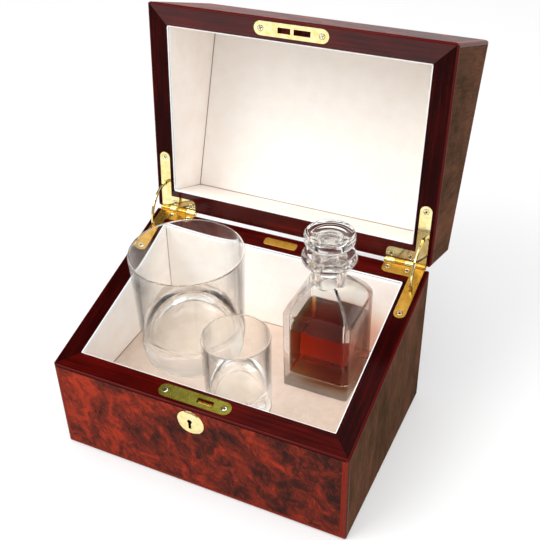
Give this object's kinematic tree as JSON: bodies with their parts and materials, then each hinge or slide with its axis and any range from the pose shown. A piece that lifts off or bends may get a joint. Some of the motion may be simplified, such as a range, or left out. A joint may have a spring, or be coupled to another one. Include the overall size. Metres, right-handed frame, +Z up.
{
  "type": "antique tantalus",
  "caption": "Slant cut wooden drinks case with a lid on quadrant hinges, lined in suede, holding a square decanter and glasses.",
  "frame": {"origin": "centre of the base's underside, on the surface it stands on", "axes": "+X to the right, +Y to the back where the hinges are, +Z up"},
  "size_m": [0.24, 0.2787, 0.3014],
  "materials": {
    "burl_lacquer": "high gloss lacquer over red burl veneer",
    "rim_lacquer": "high gloss lacquer over dark mahogany",
    "plain_board": "bare birch ply",
    "suede_lining": "pale suede cloth on board",
    "baize": "dark felt",
    "brass": "polished and lacquered",
    "steel": "plain lock parts",
    "crystal": "clear and polished",
    "spirit": "amber liquid"
  },
  "bodies": {
    "base": {"base_front_wall": "burl_lacquer", "base_back_wall": "burl_lacquer", "base_left_wall": "burl_lacquer", "base_right_wall": "burl_lacquer", "base_rim_front": "rim_lacquer", "base_rim_back": "rim_lacquer", "base_rim_left": "rim_lacquer", "base_rim_right": "rim_lacquer", "bottom_board": "plain_board", "floor_board": "plain_board", "floor_side_bearers": "plain_board", "floor_cross_bearers": "plain_board", "baize": "baize", "base_lining_front": "suede_lining", "base_lining_back": "suede_lining", "base_lining_left": "suede_lining", "base_lining_right": "suede_lining", "floor_lining": "suede_lining", "plaque": "brass", "lock_plate": "brass", "lock_screws": "brass", "escutcheon": "brass", "hinge_base_left": "brass", "hinge_base_right": "brass", "hinge_pin_left": "brass", "hinge_pin_right": "brass", "base_hinge_screws": "brass", "lock_case": "steel", "lock_cover": "steel", "key_post": "steel", "bolt_spring": "steel"},
    "lid": {"lid_front_wall": "burl_lacquer", "lid_back_wall": "burl_lacquer", "lid_left_wall": "burl_lacquer", "lid_right_wall": "burl_lacquer", "lid_top_board": "burl_lacquer", "lid_rim_front": "rim_lacquer", "lid_rim_back": "rim_lacquer", "lid_rim_left": "rim_lacquer", "lid_rim_right": "rim_lacquer", "lid_lining_front": "suede_lining", "lid_lining_back": "suede_lining", "lid_lining_left": "suede_lining", "lid_lining_right": "suede_lining", "lid_lining_panel": "suede_lining", "hinge_lid_left": "brass", "hinge_lid_right": "brass", "lid_hinge_screws": "brass", "keeper_plate": "brass", "keeper_screws": "brass"},
    "stay_left": {"stay_left": "brass"},
    "stay_right": {"stay_right": "brass"},
    "bolt": {"hook_bolt": "brass"},
    "decanter": {"decanter": "crystal", "spirit": "spirit"},
    "stopper": {"stopper": "crystal"},
    "tumbler": {"tumbler": "crystal"},
    "shot_glass": {"shot_glass": "crystal"}
  },
  "joints": [
    {"name": "lid_hinge", "type": "hinge", "parent": "base", "child": "lid", "pos_m": [0, 0.08475, 0.12842], "axis": [-1, 0, 0], "range_deg": [-109.5, 0]},
    {"name": "left_stay_turn", "type": "hinge", "parent": "base", "child": "stay_left", "pos_m": [0, 0.08475, 0.12842], "axis": [-1, 0, 0], "range_deg": [-54.75, 0]},
    {"name": "right_stay_turn", "type": "hinge", "parent": "base", "child": "stay_right", "pos_m": [0, 0.08475, 0.12842], "axis": [-1, 0, 0], "range_deg": [-54.75, 0]},
    {"name": "bolt_slide", "type": "slide", "parent": "base", "child": "bolt", "axis": [0, 0, 1], "range_m": [0, 0.006]},
    {"name": "decanter_lift", "type": "slide", "parent": "base", "child": "decanter", "axis": [0, 0, 1], "range_m": [0, 0.11]},
    {"name": "stopper_lift", "type": "slide", "parent": "decanter", "child": "stopper", "axis": [0, 0, 1], "range_m": [0, 0.04]},
    {"name": "tumbler_lift", "type": "slide", "parent": "base", "child": "tumbler", "axis": [0, 0, 1], "range_m": [0, 0.11]},
    {"name": "shot_glass_lift", "type": "slide", "parent": "base", "child": "shot_glass", "axis": [0, 0, 1], "range_m": [0, 0.11]}
  ],
  "couplings": [
    {"joint": "left_stay_turn", "follows": "lid_hinge", "ratio": 0.5},
    {"joint": "right_stay_turn", "follows": "lid_hinge", "ratio": 0.5}
  ]
}
